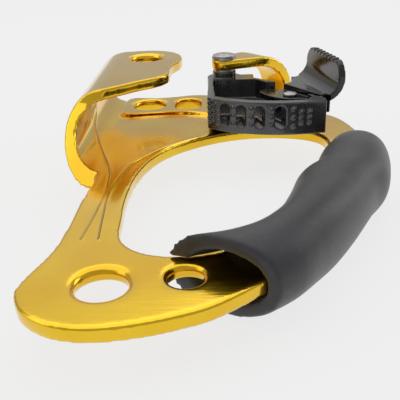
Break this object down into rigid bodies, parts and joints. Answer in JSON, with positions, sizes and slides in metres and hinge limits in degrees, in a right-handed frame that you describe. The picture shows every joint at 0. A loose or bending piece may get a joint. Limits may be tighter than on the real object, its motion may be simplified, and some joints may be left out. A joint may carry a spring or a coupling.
{
  "type": "rope ascender",
  "caption": "Right-hand handled rope clamp: a bent sheet frame with a rope channel, a rubber grip and a toothed cam held open by a sprung thumb catch.",
  "frame": {"origin": "axis of the large lower hole at the frame sheet's mid-thickness", "axes": "+Y up the rope (longest extent), +X to the handle, +Z out of the front face along the lower hole's axis"},
  "size_m": [0.1183, 0.1859, 0.0435],
  "materials": {
    "anodised_sheet": "satin gold anodised",
    "grip_rubber": "matt moulded rubber",
    "core_plastic": "matt moulded plastic",
    "cam_steel": "black satin coated steel",
    "catch_steel": "black satin coated steel",
    "rivet_steel": "bright turned steel",
    "spring_steel": "drawn wire",
    "bush_bronze": "sintered bronze"
  },
  "bodies": {
    "body": {"frame": "anodised_sheet", "grip_sleeve": "grip_rubber", "grip_core_front": "core_plastic", "grip_core_back": "core_plastic", "cam_rivet": "rivet_steel", "rivet_head_washer": "rivet_steel", "thrust_washer_upper": "rivet_steel", "thrust_washer_lower": "rivet_steel"},
    "cam": {"cam": "cam_steel", "cam_bush": "bush_bronze", "cam_spring": "spring_steel", "catch_pin": "rivet_steel", "catch_pin_washer": "rivet_steel", "catch_spring": "spring_steel"},
    "catch": {"catch": "catch_steel", "catch_pin_bush": "bush_bronze"}
  },
  "joints": [
    {"name": "cam_pivot", "type": "hinge", "parent": "body", "child": "cam", "pos_m": [0.0335, 0.1435, 0.012], "axis": [0, 0, 1], "range_deg": [-90, 0]},
    {"name": "catch_pivot", "type": "hinge", "parent": "cam", "child": "catch", "pos_m": [0.0602, 0.1185, 0.0138], "axis": [0, 0, 1], "range_deg": [-8, 0], "stiffness_Nm_per_rad": 0.05}
  ]
}
